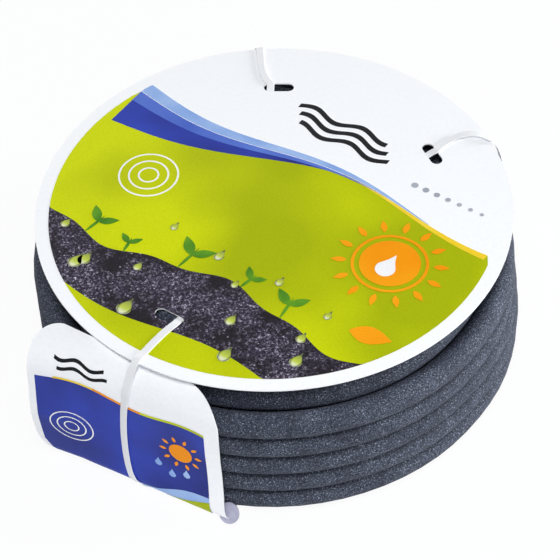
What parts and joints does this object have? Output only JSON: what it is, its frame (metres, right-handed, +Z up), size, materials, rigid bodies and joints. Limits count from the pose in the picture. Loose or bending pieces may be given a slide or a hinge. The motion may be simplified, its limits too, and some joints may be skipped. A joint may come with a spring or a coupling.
{
  "type": "soaker hose",
  "caption": "Porous rubber soaker hose wound into a flat, nested coil, with a round printed card on top, three slim plastic straps round the coil and a wrap label.",
  "frame": {"origin": "on the coil's axis, at the height of the surface that the coil lies on, which is the bottom of the straps", "axes": "+Z up along the coil's axis; +X to the right of the wrap label's side as seen from the front; the front strap and the label are at -X, -Y; right-handed"},
  "size_m": [0.342, 0.3573, 0.1241],
  "materials": {
    "porous_rubber": "matt, pitted and speckled, extruded from recycled rubber crumb",
    "coated_card": "white board, printed and varnished on the upper side",
    "clear_strap": "translucent, smooth polypropylene strapping",
    "coated_label": "white label board, printed and varnished on the outer side"
  },
  "bodies": {
    "root": {"hose_outer_turns": "porous_rubber", "hose_inner_turns": "porous_rubber", "hose_top_turn": "porous_rubber", "hose_outer_end": "porous_rubber", "hose_inner_end": "porous_rubber", "top_card": "coated_card", "rear_strap": "clear_strap", "right_strap": "clear_strap", "front_strap": "clear_strap", "wrap_label": "coated_label"}
  },
  "joints": []
}
